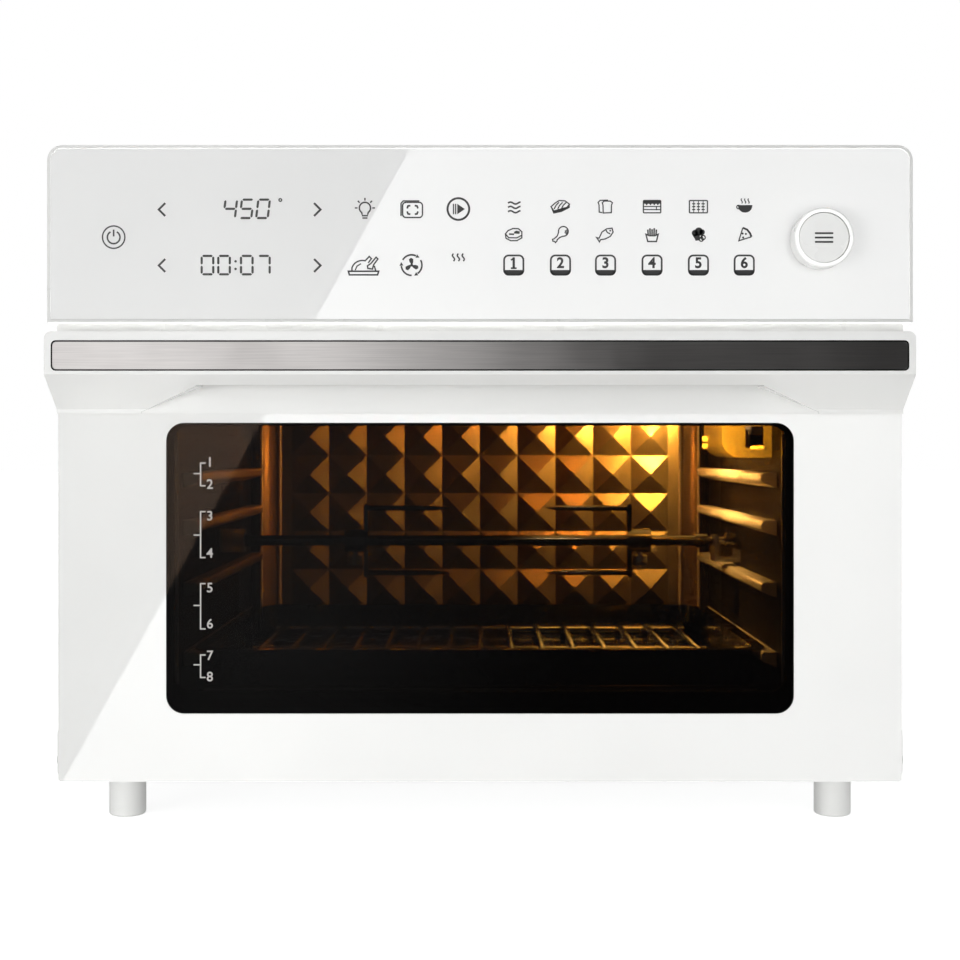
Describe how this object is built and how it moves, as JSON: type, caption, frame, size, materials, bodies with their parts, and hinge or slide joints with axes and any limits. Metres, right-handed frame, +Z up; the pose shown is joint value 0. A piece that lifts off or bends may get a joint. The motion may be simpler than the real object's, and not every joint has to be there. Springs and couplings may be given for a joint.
{
  "type": "countertop oven",
  "caption": "Countertop air fryer oven with a bottom-hinged front door, bar handle, rotisserie spit, ceiling fan and a touch panel with a push knob.",
  "frame": {"origin": "on the table under the middle of the bounding box", "axes": "+X to the viewer's right when facing the door, +Y to the back, +Z up"},
  "size_m": [0.48, 0.396, 0.3836],
  "materials": {
    "white_enamel": "white gloss enamel",
    "white_gloss": "white gloss moulding",
    "white_glass": "back-printed white glass",
    "white_knob": "white satin knob",
    "white_foot": "white moulded foot",
    "window": "tinted clear glass",
    "clear_glass": "clear glass",
    "black_border": "black border",
    "brushed_insert": "brushed along its length",
    "cavity_steel": "satin steel liner",
    "plated_steel": "plated sheet steel",
    "bright_wire": "bright plated rod",
    "pan_enamel": "black enamel",
    "element_sheath": "dark element sheath",
    "white_ceramic": "glazed ceramic",
    "seal": "black silicone",
    "black_plastic": "black moulding",
    "motor_case": "dark motor case",
    "fastener": "plated screws and pins",
    "circuit_board": "green circuit board",
    "display": "pale display"
  },
  "bodies": {
    "root": {"back_wall": "cavity_steel", "base_plate": "plated_steel", "cabinet_shell": "white_enamel", "casing_screws": "fastener", "ceiling_plate": "cavity_steel", "control_bezel": "white_gloss", "control_glass": "white_glass", "cord_gland": "black_plastic", "crumb_tray": "cavity_steel", "display_module": "display", "drip_pan": "pan_enamel", "element_bushes": "white_ceramic", "encoder": "black_plastic", "fan_guard": "cavity_steel", "fan_housing": "plated_steel", "fan_motor": "motor_case", "feet": "white_foot", "floor_pan": "cavity_steel", "foot_screws": "fastener", "front_frame": "plated_steel", "hinge_brackets": "white_enamel", "hinge_pins": "fastener", "lamp_bulb": "clear_glass", "lamp_holder": "white_ceramic", "lamp_hood": "cavity_steel", "lower_elements": "element_sheath", "motor_bracket": "plated_steel", "power_board": "circuit_board", "rear_panel": "plated_steel", "rear_spacers": "white_foot", "rotisserie_motor": "black_plastic", "side_wall_left": "cavity_steel", "side_wall_right": "cavity_steel", "spit_support": "plated_steel", "temperature_probe": "bright_wire", "touch_board": "circuit_board", "upper_element": "element_sheath", "wire_rack": "bright_wire"},
    "door": {"door_panel": "white_gloss", "window_glass": "window", "glass_retainer": "black_border", "inner_glass": "clear_glass", "door_liner": "cavity_steel", "door_gasket": "seal", "door_screws": "fastener", "handle_shell": "white_gloss", "handle_insert": "brushed_insert", "handle_screws": "fastener", "hinge_bushes": "black_plastic", "door_springs": "fastener"},
    "knob": {"knob_ring": "white_knob"},
    "knob_button": {"knob_cap": "white_knob"},
    "spit": {"spit_rod": "bright_wire", "spit_fork_left": "bright_wire", "spit_fork_right": "bright_wire", "fork_screws": "fastener"},
    "spit_drive": {"drive_socket": "fastener"},
    "fan": {"fan_shaft": "plated_steel", "convection_fan": "plated_steel", "cooling_fan": "plated_steel"}
  },
  "joints": [
    {"name": "door_hinge", "type": "hinge", "parent": "root", "child": "door", "pos_m": [0, -0.155, 0.0388], "axis": [1, 0, 0], "range_deg": [0, 85], "stiffness_Nm_per_rad": 1, "springref_deg": -22.92},
    {"name": "knob_turn", "type": "hinge", "parent": "root", "child": "knob", "pos_m": [0.1882, -0.178, 0.3307], "axis": [0, 1, 0], "continuous": true},
    {"name": "knob_press", "type": "slide", "parent": "root", "child": "knob_button", "axis": [0, 1, 0], "range_m": [0, 0.0015], "stiffness_N_per_m": 800},
    {"name": "spit_turn", "type": "hinge", "parent": "root", "child": "spit", "pos_m": [0, 0.015, 0.1529], "axis": [1, 0, 0], "continuous": true},
    {"name": "drive_turn", "type": "hinge", "parent": "root", "child": "spit_drive", "pos_m": [-0.17, 0.015, 0.1529], "axis": [1, 0, 0], "continuous": true},
    {"name": "fan_spin", "type": "hinge", "parent": "root", "child": "fan", "pos_m": [0, 0.015, 0.3], "axis": [0, 0, 1], "continuous": true}
  ],
  "couplings": [
    {"joint": "drive_turn", "follows": "spit_turn", "ratio": 1}
  ]
}
